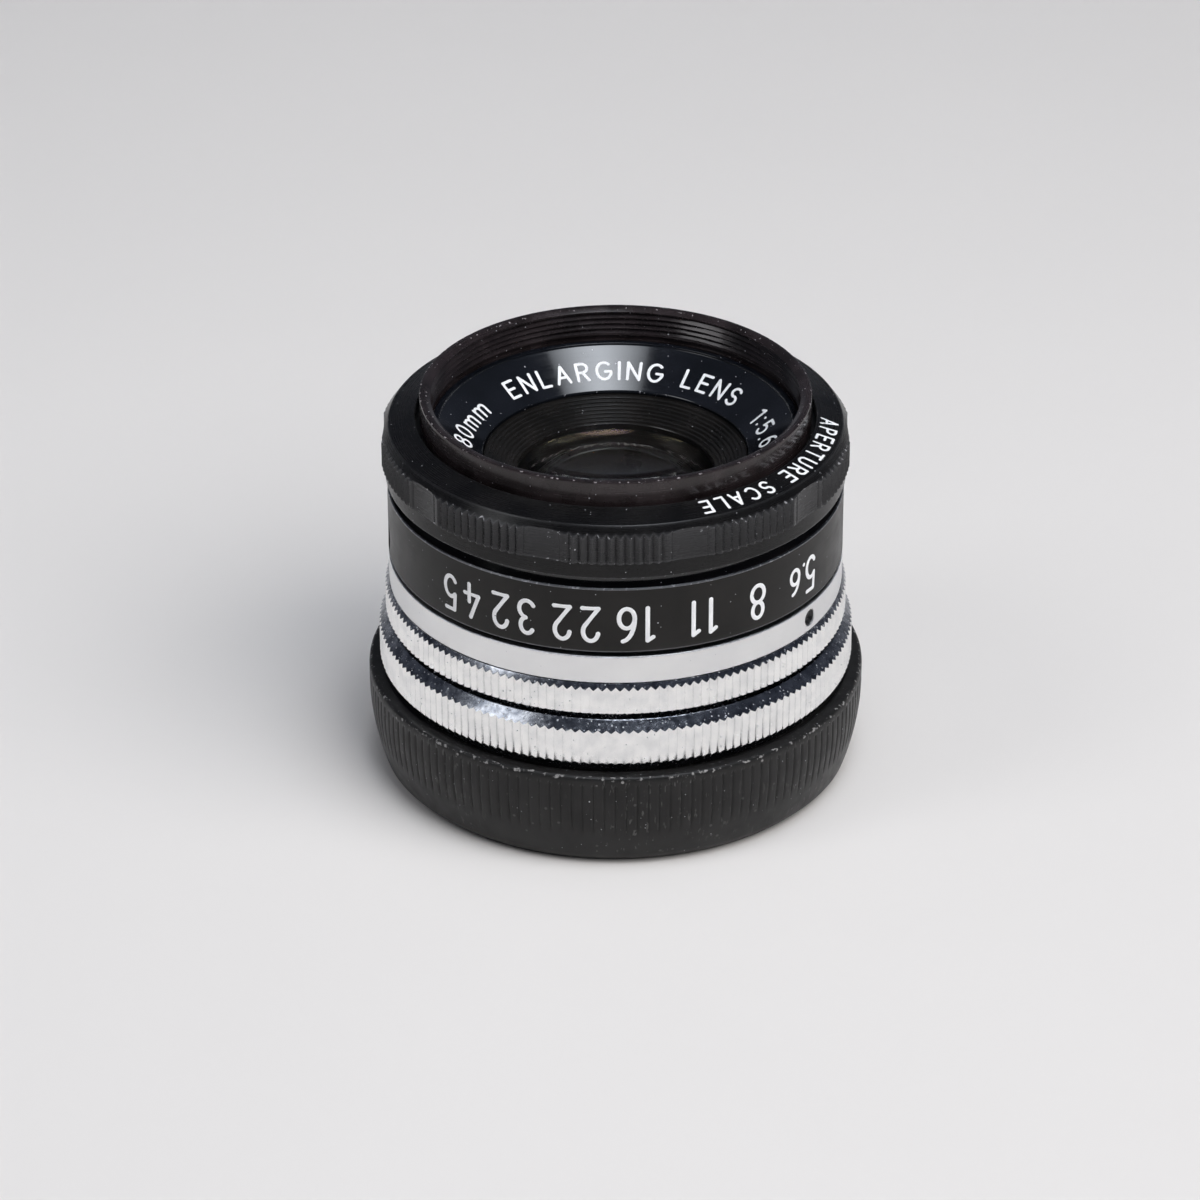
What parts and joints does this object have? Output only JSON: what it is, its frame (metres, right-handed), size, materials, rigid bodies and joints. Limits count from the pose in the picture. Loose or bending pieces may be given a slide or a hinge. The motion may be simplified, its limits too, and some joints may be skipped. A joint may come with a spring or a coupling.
{
  "type": "enlarger lens",
  "caption": "Enlarger lens standing on its screw-on rear cap, with a turning f-number ring, iris blades, chrome mount flange, lock ring and filter rim.",
  "frame": {"origin": "centre of the rear cap's underside, on the optical axis", "axes": "+Z along the optical axis towards the front of the lens; -Y is the side that the pictured view looks at, with the f-numbers on it"},
  "size_m": [0.047, 0.047, 0.038],
  "materials": {
    "black_anodised": "black anodised, semi-gloss, with fine turning marks and worn edges",
    "black_matt": "matt black anodised or blackened",
    "satin_silver": "satin silver, finely brushed around the axis",
    "chrome": "satin chrome knurl with polished, slightly pitted bevels",
    "steel": "plain turned steel",
    "blade_steel": "blackened spring steel",
    "coated_glass": "polished optical glass with an amber and violet coating",
    "cap_plastic": "worn black moulded plastic with pale scuffs"
  },
  "bodies": {
    "barrel": {"main_barrel": "black_matt", "mount_flange": "chrome", "index_ring": "satin_silver", "filter_rim": "black_anodised", "name_ring": "black_anodised", "front_baffle": "black_matt", "front_cell": "black_matt", "front_cell_retainer": "black_matt", "front_crown_element": "coated_glass", "front_flint_element": "coated_glass", "front_inner_element": "coated_glass", "front_inner_retainer": "black_matt", "rear_cell": "black_matt", "rear_inner_element": "coated_glass", "rear_inner_retainer": "black_matt", "rear_crown_element": "coated_glass", "rear_flint_element": "coated_glass", "rear_spacer": "black_matt", "rear_retaining_ring": "black_matt", "iris_base_plate": "black_matt", "cam_clip": "steel", "detent_ball": "steel", "detent_spring": "steel"},
    "aperture_ring": {"grip_ring": "black_anodised", "scale_sleeve": "black_anodised", "iris_cam_ring": "black_matt", "coupling_screw": "steel"},
    "lock_ring": {"lock_ring": "chrome"},
    "rear_cap": {"rear_cap": "cap_plastic"},
    "iris_blade_1": {"iris_blade_1": "blade_steel"},
    "iris_blade_2": {"iris_blade_2": "blade_steel"},
    "iris_blade_3": {"iris_blade_3": "blade_steel"},
    "iris_blade_4": {"iris_blade_4": "blade_steel"},
    "iris_blade_5": {"iris_blade_5": "blade_steel"},
    "iris_blade_6": {"iris_blade_6": "blade_steel"},
    "iris_blade_7": {"iris_blade_7": "blade_steel"},
    "iris_blade_8": {"iris_blade_8": "blade_steel"}
  },
  "joints": [
    {"name": "aperture_turn", "type": "hinge", "parent": "barrel", "child": "aperture_ring", "pos_m": [0, 0, 0.0255], "axis": [0, 0, 1], "range_deg": [0, 96]},
    {"name": "lock_ring_turn", "type": "hinge", "parent": "barrel", "child": "lock_ring", "pos_m": [0, 0, 0.0126], "axis": [0, 0, 1], "range_deg": [0, 240]},
    {"name": "cap_removal", "type": "slide", "parent": "barrel", "child": "rear_cap", "axis": [0, 0, -1], "range_m": [0, 0.03]},
    {"name": "iris_blade_1_swing", "type": "hinge", "parent": "barrel", "child": "iris_blade_1", "pos_m": [0, -0.0116, 0.02075], "axis": [0, 0, 1], "range_deg": [0, 30.9]},
    {"name": "iris_blade_2_swing", "type": "hinge", "parent": "barrel", "child": "iris_blade_2", "pos_m": [0.0082, -0.0082, 0.02095], "axis": [0, 0, 1], "range_deg": [0, 30.9]},
    {"name": "iris_blade_3_swing", "type": "hinge", "parent": "barrel", "child": "iris_blade_3", "pos_m": [0.0116, 0, 0.02115], "axis": [0, 0, 1], "range_deg": [0, 30.9]},
    {"name": "iris_blade_4_swing", "type": "hinge", "parent": "barrel", "child": "iris_blade_4", "pos_m": [0.0082, 0.0082, 0.02135], "axis": [0, 0, 1], "range_deg": [0, 30.9]},
    {"name": "iris_blade_5_swing", "type": "hinge", "parent": "barrel", "child": "iris_blade_5", "pos_m": [0, 0.0116, 0.02155], "axis": [0, 0, 1], "range_deg": [0, 30.9]},
    {"name": "iris_blade_6_swing", "type": "hinge", "parent": "barrel", "child": "iris_blade_6", "pos_m": [-0.0082, 0.0082, 0.02175], "axis": [0, 0, 1], "range_deg": [0, 30.9]},
    {"name": "iris_blade_7_swing", "type": "hinge", "parent": "barrel", "child": "iris_blade_7", "pos_m": [-0.0116, 0, 0.02195], "axis": [0, 0, 1], "range_deg": [0, 30.9]},
    {"name": "iris_blade_8_swing", "type": "hinge", "parent": "barrel", "child": "iris_blade_8", "pos_m": [-0.0082, -0.0082, 0.02215], "axis": [0, 0, 1], "range_deg": [0, 30.9]}
  ],
  "couplings": [
    {"joint": "iris_blade_1_swing", "follows": "aperture_turn", "ratio": 0.32185},
    {"joint": "iris_blade_2_swing", "follows": "aperture_turn", "ratio": 0.32185},
    {"joint": "iris_blade_3_swing", "follows": "aperture_turn", "ratio": 0.32185},
    {"joint": "iris_blade_4_swing", "follows": "aperture_turn", "ratio": 0.32185},
    {"joint": "iris_blade_5_swing", "follows": "aperture_turn", "ratio": 0.32185},
    {"joint": "iris_blade_6_swing", "follows": "aperture_turn", "ratio": 0.32185},
    {"joint": "iris_blade_7_swing", "follows": "aperture_turn", "ratio": 0.32185},
    {"joint": "iris_blade_8_swing", "follows": "aperture_turn", "ratio": 0.32185}
  ]
}
